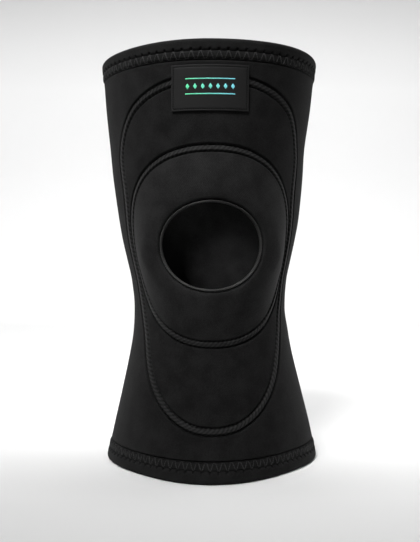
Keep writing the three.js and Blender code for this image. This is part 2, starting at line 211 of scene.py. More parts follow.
def panelOutline():
    # a smooth closed curve through the pattern's points, centripetal so that it never loops
    up, out = np.array(panelPattern["up"]), np.array(panelPattern["out"])
    v = panelPattern["bottom"] + up * (panelPattern["top"] - panelPattern["bottom"])
    right = np.stack([panelPattern["centre"] + out * panelPattern["halfWidth"], v], axis=1)
    left = np.stack([panelPattern["centre"] - out * panelPattern["halfWidth"], v], axis=1)
    points = np.vstack([left[:-1], right[:0:-1]])
    steps = np.linspace(0, 1, 200, endpoint=False)[:, None]
    curve = []
    for i in range(len(points)):
        before, start, end, after = (points[(i + k) % len(points)] for k in (-1, 0, 1, 2))
        gaps = [math.sqrt(np.linalg.norm(b - a)) for a, b in ((before, start), (start, end), (end, after))]
        leave = (start - before) / gaps[0] - (end - before) / (gaps[0] + gaps[1]) + (end - start) / gaps[1]
        arrive = (end - start) / gaps[1] - (after - start) / (gaps[1] + gaps[2]) + (after - end) / gaps[2]
        rise = (3 - 2 * steps) * steps ** 2
        bend = steps * (1 - steps) ** 2 * leave * gaps[1] + steps ** 2 * (steps - 1) * arrive * gaps[1]
        curve.append(start * (1 - rise) + end * rise + bend)
    return evenly(np.vstack(curve), outlineDetail)


def rounded(value):
    return np.sign(value) * np.abs(value) ** (2 / cupPattern["fullness"])


def cupOutline():
    angle = np.linspace(0, 2 * np.pi, outlineDetail, endpoint=False)
    above = cupPattern["top"] - cupPattern["widestAt"]
    below = cupPattern["widestAt"] - cupPattern["bottom"]
    reach = np.where(np.cos(angle) > 0, above, below)
    u = cupPattern["centre"] - cupPattern["halfWidth"] * rounded(np.sin(angle))
    return evenly(np.stack([u, cupPattern["widestAt"] + reach * rounded(np.cos(angle))], axis=1), outlineDetail)


def openingOutline():
    angle = np.linspace(0, 2 * np.pi, outlineDetail, endpoint=False)
    u = openingPattern["centre"] - openingPattern["halfWidth"] * np.sin(angle)
    return np.stack([u, openingPattern["height"] + openingPattern["halfHeight"] * np.cos(angle)], axis=1)


def outwardOf(outline):
    along = np.roll(outline, -1, axis=0) - np.roll(outline, 1, axis=0)
    return unit(np.stack([along[:, 1], -along[:, 0]], axis=1))


def grown(outline, distance):
    return outline + outwardOf(outline) * distance


def rayAngle(share):
    even = share * 2 * np.pi
    return even - rayCrowding * np.sin(2 * even)


def rayPoints(outline, count):
    # where rays from the opening's centre meet the outline
    centre = np.array([openingPattern["centre"], openingPattern["height"]])
    away = outline - centre
    angle = np.arctan2(-away[:, 0], away[:, 1]) % (2 * np.pi)
    order = np.argsort(angle)
    ray = rayAngle(np.arange(count) / count)
    reach = np.interp(ray, angle[order], np.linalg.norm(away, axis=1)[order], period=2 * np.pi)
    return centre + np.stack([-reach * np.sin(ray), reach * np.cos(ray)], axis=1)


def at(ring, share):
    # a closed ring of values read at shares of the way round
    steps = np.linspace(0, 1, len(ring) + 1)
    closed = closedRing(ring)
    return np.stack([np.interp(share, steps, closed[:, i]) for i in range(ring.shape[1])], axis=-1)


panelSeamLine = panelOutline()
cupSeamLine = cupOutline()
openingLine = openingOutline()
print("stage: pattern outlines drawn")

# cloth tools
grooveShape = {"depth": 1.9, "halfWidth": 0.5, "steepness": 3, "puff": 0.12, "puffAt": 2.0, "puffWidth": 1.0}


def grooveLift(distance, halfWidth=grooveShape["halfWidth"]):
    # the cloth rolls down into a row of stitches and puffs up a little beside it
    dip = -grooveShape["depth"] * np.exp(-(distance / halfWidth) ** grooveShape["steepness"])
    puff = np.exp(-((distance - grooveShape["puffAt"]) / grooveShape["puffWidth"]) ** 2)
    return dip + grooveShape["puff"] * puff


def valuesOf(items, key, width=3):
    # one property of all vertices, faces or corners, as rows of numbers
    flat = np.zeros(len(items) * width)
    items.foreach_get(key, flat)
    return flat.reshape(-1, width)


def layCloth(name, columns, rows, placeAt):
    # a flat grid of cloth, put in place point by point; its UV map stays the flat pattern, in metres
    bpy.ops.mesh.primitive_grid_add(x_subdivisions=columns, y_subdivisions=rows, size=1)
    cloth = bpy.context.object
    cloth.name = cloth.data.name = name
    mesh = cloth.data
    flat = valuesOf(mesh.vertices, "co")
    along, across = np.clip(flat[:, 0] + 0.5, 0, 1), np.clip(flat[:, 1] + 0.5, 0, 1)
    places, pattern = placeAt(along, across)
    corners = np.zeros(len(mesh.loops), int)
    mesh.loops.foreach_get("vertex_index", corners)
    uv = (pattern[corners] * millimetre).astype(np.float32)
    mesh.uv_layers.active.data.foreach_set("uv", uv.ravel())
    mesh.vertices.foreach_set("co", places.astype(np.float32).ravel())
    mesh.update()
    return cloth


def openForEdit(piece):
    # this piece alone is selected, in edit mode, with all of its mesh picked
    bpy.ops.object.select_all(action="DESELECT")
    piece.select_set(True)
    bpy.context.view_layer.objects.active = piece
    bpy.ops.object.mode_set(mode="EDIT")
    bpy.ops.mesh.select_all(action="SELECT")


def finishCloth(cloth, thickness):
    # closes the ring, turns the faces outwards and gives the cloth its thickness
    openForEdit(cloth)
    bpy.ops.mesh.remove_doubles(threshold=mergeDistance)
    bpy.ops.object.mode_set(mode="OBJECT")
    centre, normal = (valuesOf(cloth.data.polygons, key) for key in ("center", "normal"))
    if (centre[:, :2] * normal[:, :2]).sum() < 0:
        openForEdit(cloth)
        bpy.ops.mesh.flip_normals()
        bpy.ops.object.mode_set(mode="OBJECT")
    if thickness:
        wall = cloth.modifiers.new("wall", "SOLIDIFY")
        wall.thickness = thickness * millimetre
        wall.offset = -1
        bpy.ops.object.modifier_apply(modifier=wall.name)
    bpy.ops.object.shade_smooth()
    cloth.select_set(False)


def closeTube(cloth):
    # a tube that meets itself both ways: merged, then its faces turned outwards
    openForEdit(cloth)
    bpy.ops.mesh.remove_doubles(threshold=mergeDistance)
    bpy.ops.mesh.normals_make_consistent(inside=False)
    bpy.ops.object.mode_set(mode="OBJECT")
    bpy.ops.object.shade_smooth()
    cloth.select_set(False)


def flatArea(cloth):
    # the area of the flat pattern, from the UV map
    uv = valuesOf(cloth.data.uv_layers.active.data, "uv", 2).reshape(-1, 4, 2)
    side, other = uv[:, 2] - uv[:, 0], uv[:, 3] - uv[:, 1]
    return float(np.abs(side[:, 0] * other[:, 1] - side[:, 1] * other[:, 0]).sum() / 2)


def crowded(share, power=1.8):
    # rows close together at both edges of the cloth, wide apart between them
    half = np.where(share < 0.5, share, 1 - share) * 2
    return np.where(share < 0.5, half ** power / 2, 1 - half ** power / 2)


def makePanel(name, shape, placeAt):
    # a piece of the neoprene, and the area of its flat pattern
    cloth = layCloth(name, shape["columns"], shape["rows"], placeAt)
    area = flatArea(cloth)
    finishCloth(cloth, bodyForm["wall"])
    print("stage:", name, "wrapped,", round(area, 4), "square metres")
    return cloth, area


# hems
hemShape = {
    "topHeight": 12.2,
    "bottomHeight": 12.9,
    "thickness": 5.4,
    "standout": 0.9,
    "bandWidth": 5.0,  # between the two rows of needle holes
    "bandLift": 0.35,
    "columns": 1100,
    "topPitch": 5.9,  # one zigzag of the cover thread
    "bottomPitch": 5.4,
    "holeDepth": 2.1,
    "holeReach": 0.7,
    "holeAt": 0.75,  # the needle holes lie this far outside the band
    "holeNarrow": 9,
    "pullDepth": 0.4,  # the shallower pulls along the hem's cut edge
    "pullReach": 0.75,
    "pullNarrow": 6,
    "bandGroove": 0.6,
    "lowerGroove": 1.5,
    "grooveHalfWidth": 0.6,
    "bandPuff": 0.25,
    "outsideRows": 34,
    "foldRows": 17,
    "insideRows": 6,
}


def hemSection(height):
    # (lift, distance from the rim) down the outside, round the fold and back up the inside
    outside = hemShape["standout"]
    inside = outside - hemShape["thickness"]
    fold = hemShape["thickness"] / 2
    upper = height - hemShape["bandWidth"]
    rows = []
    for step in np.linspace(0, 1, hemShape["outsideRows"]):
        away = height - step * (height - fold)
        lift = outside
        if away > upper:
            puff = math.sin(math.pi * (away - upper) / hemShape["bandWidth"])
            lift = hemShape["bandLift"] + hemShape["bandPuff"] * puff
        for depth, place in ((hemShape["bandGroove"], upper), (hemShape["lowerGroove"], height)):
            lift -= depth * math.exp(-((away - place) / hemShape["grooveHalfWidth"]) ** 2)
        rows.append((lift, away))
    for angle in np.linspace(0, math.pi, hemShape["foldRows"])[1:-1]:
        rows.append((outside - fold + fold * math.cos(angle), fold - fold * math.sin(angle)))
    for step in np.linspace(0, 1, hemShape["insideRows"]):
        rows.append((inside, fold + step * (height - 0.6 - fold)))
    rows.append((inside + 0.4, height - 0.1))
    return np.array(rows)


def makeHem(name, rimHeight, inwards, height):
    section = hemSection(height)
    closed = closedRing(section)
    walked = walkedAlong(closed)
    shares = np.linspace(0, 1, len(closed))

    def placeAt(along, across):
        lift = np.interp(across, shares, closed[:, 0])
        away = np.interp(across, shares, closed[:, 1])
        turn = (along * 2 - 1) * np.pi
        z = rimHeight + inwards * away
        places = bodyPoint(turn, z, lift + hemStitchDimples(turn, away, rimHeight, height))
        around = turn * wrapRadius(np.full_like(z, rimHeight))
        return places, np.stack([around, np.interp(across, shares, walked)], axis=1)

    hem = layCloth(name, hemShape["columns"], len(section), placeAt)
    closeTube(hem)
    return hem


def zigzagCount(rimHeight):
    pitch = hemShape["bottomPitch"] if rimHeight == 0 else hemShape["topPitch"]
    return round(hemGirth(rimHeight) / pitch)


def hemStitchDimples(turn, away, rimHeight, height):
    # needle holes pull the cloth down along the two rows
    phase = turn * zigzagCount(rimHeight)
    holes = height - hemShape["bandWidth"] - hemShape["holeAt"]
    near = np.exp(-((away - holes) / hemShape["holeReach"]) ** 4)
    far = np.exp(-((away - height) / hemShape["pullReach"]) ** 2)
    near = near * (0.5 + 0.5 * np.cos(phase)) ** hemShape["holeNarrow"]
    far = far * (0.5 - 0.5 * np.cos(phase)) ** hemShape["pullNarrow"]
    return -hemShape["holeDepth"] * near - hemShape["pullDepth"] * far


def hemGirth(rimHeight):
    turn = np.linspace(-np.pi, np.pi, 721)
    return float(walkedAlong(bodyPoint(turn, np.full_like(turn, rimHeight), 0.5))[-1] / millimetre)


topHem = makeHem("topHemFold", sleeveHeight, -1, hemShape["topHeight"])
bottomHem = makeHem("bottomHemFold", 0.0, 1, hemShape["bottomHeight"])
print("stage: hems folded")

# sleeve body
shellShape = {
    "columns": 620,
    "rows": 62,
    "seamEdge": 2.65,
    "hemOverlap": 0.1,
    "hemGroove": 0.9,
    "halfGirth": 200,  # half the width of the flat cloth that the rays from the opening spread over
}


def shellPlace(along, across):
    start = at(rayPoints(grown(panelSeamLine, shellShape["seamEdge"]), shellShape["columns"]), along)
    startTurn = start[:, 0] / wrapRadius(start[:, 1])
    low = hemShape["bottomHeight"] - shellShape["hemOverlap"]
    high = sleeveHeight - hemShape["topHeight"] + shellShape["hemOverlap"]
    ray = rayAngle(along)
    middle = openingPattern["height"]
    halfGirth = shellShape["halfGirth"]
    sin, cos = np.sin(ray), np.cos(ray)
    toSide = halfGirth / np.maximum(np.abs(sin), 1e-6)
    toEnd = np.where(cos > 0, high - middle, middle - low) / np.maximum(np.abs(cos), 1e-6)
    reach = np.minimum(toSide, toEnd)
    endTurn = -reach * sin / halfGirth * np.pi
    endV = middle + reach * cos
    share = crowded(across)
    turn = startTurn + (endTurn - startTurn) * share
    v = start[:, 1] + (endV - start[:, 1]) * share
    seamDistance = share * np.hypot((endTurn - startTurn) * wrapRadius(v), endV - start[:, 1])
    lift = grooveLift(seamDistance)
    for edge in (low, high):
        lift = lift + grooveLift(np.abs(v - edge), shellShape["hemGroove"])
    u = turn * wrapRadius(v)
    return bodyPoint(turn, v, lift), np.stack([u, v], axis=1)


sleeveBody, sleeveBodyArea = makePanel("sleeveCloth", shellShape, shellPlace)

# front panel
panelShape = {"columns": 640, "rows": 30, "seamEdge": 2.35}


def frontPanelPlace(along, across):
    outer = at(rayPoints(grown(panelSeamLine, -panelShape["seamEdge"]), panelShape["columns"]), along)
    inner = at(rayPoints(grown(cupSeamLine, panelShape["seamEdge"]), panelShape["columns"]), along)
    share = crowded(across)
    point = between(outer, inner, share)
    width = np.linalg.norm(outer - inner, axis=1)
    lift = np.minimum(grooveLift(width * share), grooveLift(width * (1 - share)))
    return wrap(point, lift), point


frontPanel, frontPanelArea = makePanel("frontPanelCloth", panelShape, frontPanelPlace)

# knee cup
cupShape = {
    "columns": 640,
    "rows": 34,
    "seamEdge": 2.25,
    "domeHeight": 10.6,
    "sideShoulder": 0.53,  # where the flank turns into the face, from the seam (0) to the rim (1)
    "endShoulder": 0.84,
    "sideFlank": 0.85,  # how much of the height the flank climbs
    "endFlank": 0.97,
    "sideLow": 0.16,  # the sides' shoulder sits this far below the level of the opening's centre, in radians
    "sideNarrow": 10,
    "sideSoftness": 0.03,
    "endSoftness": 0.16,
    "lipDrop": 1.2,
    "lipWidth": 0.14,
    "rimWidth": 1.75,
    "seamGrooveNarrow": 1.5,  # the groove at the cup's seam is narrower by this
    "crowding": 1.6,
}


def endToSide(name, side):
    return cupShape["end" + name] + (cupShape["side" + name] - cupShape["end" + name]) * side


def domeRise(share, along):
    # a flank, a shoulder and a flatter face round the opening; the shoulder is sharp at the knee's sides
    ray, low = rayAngle(along), cupShape["sideLow"]
    side = np.abs(np.sin(ray)) * math.cos(low) - np.cos(ray) * math.sin(low)
    side = np.clip(side, 0, 1) ** cupShape["sideNarrow"]
    shoulder, climbed, softness = (endToSide(name, side) for name in ("Shoulder", "Flank", "Softness"))
    flank = climbed * share / shoulder
    face = climbed + (1 - climbed) * (share - shoulder) / (1 - shoulder)
    rise = (flank + face - np.sqrt((flank - face) ** 2 + softness ** 2)) / 2
    lip = np.clip((share - 1 + cupShape["lipWidth"]) / cupShape["lipWidth"], 0, 1) ** 2
    return cupShape["domeHeight"] * rise - cupShape["lipDrop"] * lip


def cupPoint(along, inward):
    # flat points on the rays from the cup's seam to the opening's edge, and how far they lie from both
    seam = at(rayPoints(cupSeamLine, cupShape["columns"]), along)
    edge = at(rayPoints(grown(openingLine, cupShape["rimWidth"]), cupShape["columns"]), along)
    width = np.linalg.norm(seam - edge, axis=1)
    first = cupShape["seamEdge"] / width
    share = first + (1 - first) * inward
    return between(seam, edge, share), share, width * (share - first), width * (1 - share)


# the padding of the cup: a coarse copy of it, sewn down along both edges, swells under pressure
stuffing = {
    "columns": 180,
    "rows": 12,
    "pressure": 230,
    "mass": 0.002,
    "stretch": 2,
    "bending": 0.3,
    "frames": 20,
    "swell": 0.5,
}


def coarseCupPlace(along, across):
    point, share = cupPoint(along, across)[:2]
    return wrap(point, domeRise(share, along)), point


def swellCup():
    # millimetres that each point of the coarse grid has swollen, its rows from the seam to the opening
    pad = layCloth("cupStuffing", stuffing["columns"], stuffing["rows"], coarseCupPlace)
    gridPoints = valuesOf(pad.data.vertices, "co")
    finishCloth(pad, 0)
    flatPoints, normals = (valuesOf(pad.data.vertices, key) for key in ("co", "normal"))
    sewnEdges = pad.vertex_groups.new(name="sewnEdges")
    openForEdit(pad)
    bpy.ops.mesh.select_all(action="DESELECT")
    bpy.ops.mesh.select_mode(type="VERT")
    bpy.ops.mesh.select_non_manifold()
    bpy.ops.object.vertex_group_assign()
    bpy.ops.object.mode_set(mode="OBJECT")
    cloth = pad.modifiers.new("stuffing", "CLOTH")
    cloth.settings.mass = stuffing["mass"]
    cloth.settings.tension_stiffness = cloth.settings.compression_stiffness = stuffing["stretch"]
    cloth.settings.bending_stiffness = stuffing["bending"]
    cloth.settings.vertex_group_mass = sewnEdges.name
    cloth.settings.use_pressure = True
    cloth.settings.uniform_pressure_force = stuffing["pressure"]
    cloth.settings.effector_weights.gravity = 0
    for frameNumber in range(1, stuffing["frames"] + 1):
        bpy.context.scene.frame_set(frameNumber)
    bpy.ops.object.modifier_apply(modifier=cloth.name)
    moved = ((valuesOf(pad.data.vertices, "co") - flatPoints) * normals).sum(axis=1)
    bpy.data.objects.remove(pad)
    bpy.context.scene.frame_set(1)
    nearest = KDTree(len(flatPoints))
    for index, point in enumerate(flatPoints):
        nearest.insert(point, index)
    nearest.balance()
    swell = moved[[nearest.find(point)[1] for point in gridPoints]]
    most = swell.max()
    print("stage: cup stuffed, it swelled", round(float(most) / millimetre, 2), "mm before it was eased back")
    return np.clip(swell / most, 0, 1).reshape(noSwell.shape) * stuffing["swell"]


noSwell = np.zeros((stuffing["rows"] + 1, stuffing["columns"] + 1))
cupSwell = swellCup()


def swellAt(along, across):
    # the coarse grid's swelling, read between its points
    row, column = across * stuffing["rows"], along * stuffing["columns"]
    low = np.clip(row.astype(int), 0, stuffing["rows"] - 1)
    left = np.clip(column.astype(int), 0, stuffing["columns"] - 1)
    up, right = row - low, column - left
    lower = cupSwell[low, left] * (1 - right) + cupSwell[low, left + 1] * right
    upper = cupSwell[low + 1, left] * (1 - right) + cupSwell[low + 1, left + 1] * right
    return lower * (1 - up) + upper * up


def kneeCupPlace(along, across):
    inward = crowded(across, cupShape["crowding"])
    point, share, fromSeam, fromEdge = cupPoint(along, inward)
    grooves = grooveLift(fromSeam * cupShape["seamGrooveNarrow"]) + grooveLift(fromEdge)
    return wrap(point, domeRise(share, along) + swellAt(along, inward) + grooves), point


kneeCup = makePanel("kneeCupPad", cupShape, kneeCupPlace)[0]

# opening binding
bindingShape = {
    "columns": 420,
    "sectionPoints": 20,
    "halfWidth": 0.72,
    "halfHeight": 1.8,
    "standout": 0.45,
    "play": 0.05,
    "sideSqueeze": 0.7,  # at the knee's sides it is lower by this, and sits further out
    "sideShift": 0.25,
}


def bindingPlace(along, across):
    ring = grown(openingLine, bindingShape["halfWidth"] + bindingShape["play"])
    middle = at(rayPoints(ring, bindingShape["columns"]), along)
    centre = np.array([openingPattern["centre"], openingPattern["height"]])
    outwards = unit(middle - centre)
    angle = across * 2 * np.pi
    side = outwards[:, 0] ** 2
    offset = bindingShape["halfWidth"] * np.cos(angle) + bindingShape["sideShift"] * side
    point = middle + outwards * offset[:, None]
    seated = cupShape["domeHeight"] - cupShape["lipDrop"] - bodyForm["wall"] / 2 + bindingShape["standout"]
    lift = seated + (bindingShape["halfHeight"] - bindingShape["sideSqueeze"] * side) * np.sin(angle)
    ringWidth = 2 * np.pi * (bindingShape["halfWidth"] + bindingShape["halfHeight"]) / 2
    length = 2 * np.pi * openingPattern["halfWidth"]
    return wrap(point, lift), np.stack([along * length, across * ringWidth], axis=1)


openingBinding = layCloth("openingBinding", bindingShape["columns"], bindingShape["sectionPoints"], bindingPlace)
closeTube(openingBinding)
print("stage: opening bound")

# seam ribs
ribShape = {
    "halfWidth": 2.75,
    "crown": 0.4,
    "shoulder": 1.0,  # where the crown starts to fall into the groove
    "grooveAt": 2.15,
    "grooveDepth": 2.0,
    "threadPitch": 1.5,  # loops of thread lean across the crown, spaced as on a flatlock seam
    "threadHeight": 0.055,
    "threadLean": (2.2, -2.6),  # radians of a pitch that each thread moves along per millimetre across
    "secondThread": 0.7,
    "unevenness": 1.1,
    "waves": (4.1, 2.3),
    "rows": 22,
    "columnSpacing": 0.36,
    "thickness": 1.0,
    "flankStart": 0.8,
}


def ribLift(across, along):
    # a soft crown between two rows of stitches, covered by crossing threads
    fall = (np.abs(across) - ribShape["shoulder"]) / (ribShape["grooveAt"] - ribShape["shoulder"])
    fall = np.clip(fall, 0, 1)
    fall = fall * fall * (3 - 2 * fall)
    longWave, shortWave = ribShape["waves"]
    slack = ribShape["unevenness"] * (np.sin(along / longWave) + np.sin(along / shortWave + across * 1.7))
    lean = 2 * np.pi * along / ribShape["threadPitch"] + slack
    right, left = ribShape["threadLean"]
    crossing = ribShape["secondThread"] * np.sin(lean + across * left + 1.1 + slack)
    threads = np.maximum(np.sin(lean + across * right), crossing)
    lift = ribShape["crown"] - (ribShape["crown"] + ribShape["grooveDepth"]) * fall
    return lift + ribShape["threadHeight"] * threads * (1 - fall)


def makeRib(name, line, riseOf):
    length = walkedAlong(closedRing(line))[-1]
    columns = round(length / ribShape["columnSpacing"])
    outward = outwardOf(line)
    pitches = round(length / ribShape["threadPitch"])

    def placeAt(along, across):
        offset = (across * 2 - 1) * ribShape["halfWidth"]
        point = at(line, along) + at(outward, along) * offset[:, None]
        walked = along * pitches * ribShape["threadPitch"]
        lift = ribLift(offset, walked) + riseOf(offset, along)
        return wrap(point, lift), np.stack([walked, offset], axis=1)

    rib = layCloth(name, columns, ribShape["rows"], placeAt)
    finishCloth(rib, ribShape["thickness"])
    return rib


# how far the ground under a seam or a row of stitches stands off the body
def level(offset, along):
    return 0 * offset


def rimLevel(offset, along):
    return level(offset, along) + cupShape["domeHeight"] - cupShape["lipDrop"]


def onCupFlank(offset, along):
    # the cup starts to rise inside its seam
    width = cupPattern["halfWidth"] - openingPattern["halfWidth"] - cupShape["rimWidth"]
    return domeRise(np.clip((ribShape["flankStart"] - offset) / width, 0, 1), along)


panelRib = makeRib("panelSeamRib", panelSeamLine, level)
cupRib = makeRib("cupSeamRib", cupSeamLine, onCupFlank)
print("stage: seam ribs laid")

# stitches
stitchShape = {
    "length": 1.5,
    "width": 0.5,
    "height": 0.5,
    "pitch": 2.6,
    "sunk": 0.85,
    "panelRows": (2.4, -2.4),  # millimetres outside the seam line
    "cupRows": (2.4, -2.05),
    "openingRow": 0.45,  # outside the binding
    "openingPitch": 1.9,
    "openingSunk": 0.55,
    "share": 0.6,  # the most of its pitch that a stitch may fill
}


def directions(points, outs):
    # ahead along a closed path, aside from it and up off the cloth
    ahead = unit(np.roll(points, -1, axis=0) - np.roll(points, 1, axis=0))
    aside = unit(np.cross(outs, ahead))
    return ahead, aside, np.cross(ahead, aside)


def sewRow(name, points, outs, length, width, height):
    # one stitch is modelled once and copied along the row: points are its places, outs point off the cloth
    bpy.ops.mesh.primitive_uv_sphere_add(segments=8, ring_count=5, radius=0.5)
    stitch = bpy.context.object
    bpy.ops.object.mode_set(mode="EDIT")
    bpy.ops.mesh.select_all(action="SELECT")
    bpy.ops.transform.rotate(value=math.pi / 2, orient_axis="Y", center_override=(0, 0, 0))
    bpy.ops.object.mode_set(mode="OBJECT")
    shape = valuesOf(stitch.data.vertices, "co") * (length, width, height) * millimetre
    faces = [tuple(p.vertices) for p in stitch.data.polygons]
    bpy.data.objects.remove(stitch)
    ahead, aside, up = directions(points, outs)
    places = (points[:, None, :] + shape[None, :, :1] * ahead[:, None] + shape[None, :, 1:2] * aside[:, None]
              + shape[None, :, 2:] * up[:, None])
    mesh = bpy.data.meshes.new(name)
    count = len(shape)
    rows = [tuple(i + k * count for i in face) for k in range(len(points)) for face in faces]
    mesh.from_pydata(places.reshape(-1, 3).tolist(), [], rows)
    row = bpy.data.objects.new(name, mesh)
    bpy.context.scene.collection.objects.link(row)
    mesh.polygons.foreach_set("use_smooth", [True] * len(mesh.polygons))
    return row


def stitchesAlong(name, line, offset, riseOf, sunk=stitchShape["sunk"], pitch=stitchShape["pitch"]):
    # a row of running stitches lying in the groove beside a seam
    row = grown(line, offset)
    count = round(walkedAlong(closedRing(row))[-1] / pitch)
    points = evenly(row, count)
    rise = riseOf(np.full(count, offset), np.linspace(0, 1, count, endpoint=False)) - sunk
    low = wrap(points, rise)
    length = min(stitchShape["length"], pitch * stitchShape["share"])
    return sewRow(name, low, wrap(points, rise + 1) - low, length, stitchShape["width"], stitchShape["height"])


def joined(name, parts):
    bpy.ops.object.select_all(action="DESELECT")
    for part in parts:
        part.select_set(True)
    bpy.context.view_layer.objects.active = parts[0]
    bpy.ops.object.join()
    whole = bpy.context.object
    whole.name = whole.data.name = name
    whole.select_set(False)
    return whole


def seamStitches(name, line, offsets, riseOf):
    return joined(name, [stitchesAlong(name + "Row", line, offset, riseOf) for offset in offsets])


panelStitches = seamStitches("panelSeamStitches", panelSeamLine, stitchShape["panelRows"], level)
cupStitches = seamStitches("cupSeamStitches", cupSeamLine, stitchShape["cupRows"], onCupFlank)
openingStitches = stitchesAlong("openingStitches", openingLine, cupShape["rimWidth"] + stitchShape["openingRow"],
                                rimLevel, stitchShape["openingSunk"], stitchShape["openingPitch"])


# hem cover threads
threadShape = {
    "radius": 0.17,
    "sides": 6,
    "stepsPerPitch": 16,
    "apexWidth": (0.0, 0.16),  # share of a pitch that each strand spends in the needle row
    "footWidth": 0.3,
    "bandInset": 0.2,
    "stand": 0.28,  # over the band's cloth
    "dive": 0.8,
    "strandStep": 0.06,
    "rowStitch": (2.2, 0.5, 0.45),
    "rowSunk": 0.55,
    "rowOutside": 0.1,
}


def makeThread(name, centres, outs, radius):
    # a closed tube of thread along a path
    aside, up = directions(centres, outs)[1:]
    walked = walkedAlong(centres)

    def placeAt(along, across):
        angle = across * 2 * np.pi
        centre, side, lifted = at(centres, along), at(aside, along), at(up, along)
        ring = side * np.cos(angle)[:, None] + lifted * np.sin(angle)[:, None]
        length = np.interp(along, np.linspace(0, 1, len(walked)), walked) / millimetre
        return centre + ring * radius * millimetre, np.stack([length, across * 2 * np.pi * radius], axis=1)

    thread = layCloth(name, len(centres), threadShape["sides"], placeAt)
    closeTube(thread)
    return thread


def hemThreads(name, rimHeight, inwards, height):
    count = zigzagCount(rimHeight)
    steps = count * threadShape["stepsPerPitch"]
    turn = np.linspace(-np.pi, np.pi, steps, endpoint=False)
    parts = []
    phase = np.abs((turn / (2 * np.pi) * count + 0.5) % 1 - 0.5) * 2  # 0 at a needle hole, 1 between two
    halfBand = hemShape["bandWidth"] / 2
    for strand, apex in enumerate(threadShape["apexWidth"]):
        swing = np.clip((phase - apex) / ((1 - apex) * (1 - threadShape["footWidth"])), 0, 1) * 2 - 1
        z = rimHeight + inwards * (height - halfBand + swing * (halfBand - threadShape["bandInset"]))
        lift = hemShape["bandLift"] + threadShape["stand"] - threadShape["dive"] * np.abs(swing) ** 5
        lift = lift + threadShape["strandStep"] * strand
        centres = bodyPoint(turn, z, lift)
        outs = bodyPoint(turn, z, lift + 1) - centres
        parts.append(makeThread(name + "Strand", centres, outs, threadShape["radius"]))
    around = np.linspace(-np.pi, np.pi, count * 2, endpoint=False) + np.pi / count / 2
    z = np.full(count * 2, rimHeight + inwards * (height + threadShape["rowOutside"]))
    low = bodyPoint(around, z, np.full(count * 2, -threadShape["rowSunk"]))
    high = bodyPoint(around, z, np.full(count * 2, 1.0))
    parts.append(sewRow(name + "Row", low, high - low, *threadShape["rowStitch"]))
    return joined(name, parts)


topHemStitches = hemThreads("topHemStitches", sleeveHeight, -1, hemShape["topHeight"])
bottomHemStitches = hemThreads("bottomHemStitches", 0.0, 1, hemShape["bottomHeight"])
print("stage: stitches sewn")

# label
labelShape = {
    "centre": 0.3,
    "width": 48,
    "height": 27.5,
    "top": sleeveHeight - hemShape["topHeight"] - 3.6,
    "lift": 0.85,
    "thickness": 0.6,
    "borderInset": 1.2,
    "borderWidth": 0.42,
    "borderDepth": 0.22,
    "edgeRoll": 0.2,
    "rollWidth": 0.25,
    "pillow": 0.25,
    "pillowWidth": 5,
    "stitchPitch": 1.35,
    "stitch": (1.05, 0.5, 0.3),
    "stitchLift": 0.08,
    "grid": (110, 70),
    "crowding": 1.25,
}
labelHalf = np.array([labelShape["width"], labelShape["height"]]) / 2
labelMiddle = np.array([labelShape["centre"], labelShape["top"] - labelHalf[1]])


def labelLift(point):
    # a slight pillow, pulled down along its stitched border
    gaps = labelHalf - np.abs(point - labelMiddle)
    edge = gaps.min(axis=1)
    pillow = labelShape["pillow"] * (1 - np.exp(-edge / labelShape["pillowWidth"]))
    border = np.exp(-((edge - labelShape["borderInset"]) / labelShape["borderWidth"]) ** 2)
    roll = labelShape["edgeRoll"] * np.exp(-np.maximum(edge, 0) / labelShape["rollWidth"])
    return labelShape["lift"] + labelShape["thickness"] + pillow - labelShape["borderDepth"] * border - roll


def labelPlace(along, across):
    shares = [crowded(share, labelShape["crowding"]) * 2 - 1 for share in (along, across)]
    point = labelMiddle + np.stack(shares, axis=1) * labelHalf
    return wrap(point, labelLift(point)), point


label = layCloth("labelCloth", *labelShape["grid"], labelPlace)
finishCloth(label, labelShape["thickness"])


def labelBorder():
    # small stitches all round, just inside the label's edge
    half = labelHalf - labelShape["borderInset"]
    corners = np.array([(1, 1), (-1, 1), (-1, -1), (1, -1)]) * half + labelMiddle
    points = evenly(corners, round(4 * half.sum() / labelShape["stitchPitch"]))
    lift = labelLift(points) + labelShape["stitchLift"]
    low = wrap(points, lift)
    return sewRow("labelStitches", low, wrap(points, lift + 1) - low, *labelShape["stitch"])


labelStitches = labelBorder()

ornamentShape = {
    "diamonds": 7,
    "spacing": 4.6,
    "halfWidth": 1.55,
    "halfHeight": 2.1,
    "ruleGap": 4.5,
    "ruleHeight": 0.75,
    "ruleOverhang": 1.6,
    "middle": 0.47,  # of the label's height, from its top
    "relief": 0.14,
    "edgeSunk": 0.1,
    "threadLength": 0.6,
}


def wovenPatch(name, corners):
    # a raised patch of weft thread on the label, cut to a flat outline of (u, v) corners
    outline = np.array(corners, float)

    def placeAt(along, across):
        left, right = between(outline[:1], outline[3:], across), between(outline[1:2], outline[2:3], across)
        point = between(left, right, along)
        edge = np.minimum(np.minimum(along, 1 - along), np.minimum(across, 1 - across))
        raised = np.where(edge < 1e-4, -ornamentShape["edgeSunk"], ornamentShape["relief"])
        return wrap(point, labelLift(point) + raised), point

    columns = max(4, round(np.linalg.norm(outline[1] - outline[0]) / ornamentShape["threadLength"]))
    patch = layCloth(name, columns, 5, placeAt)
    finishCloth(patch, 0)
    return patch


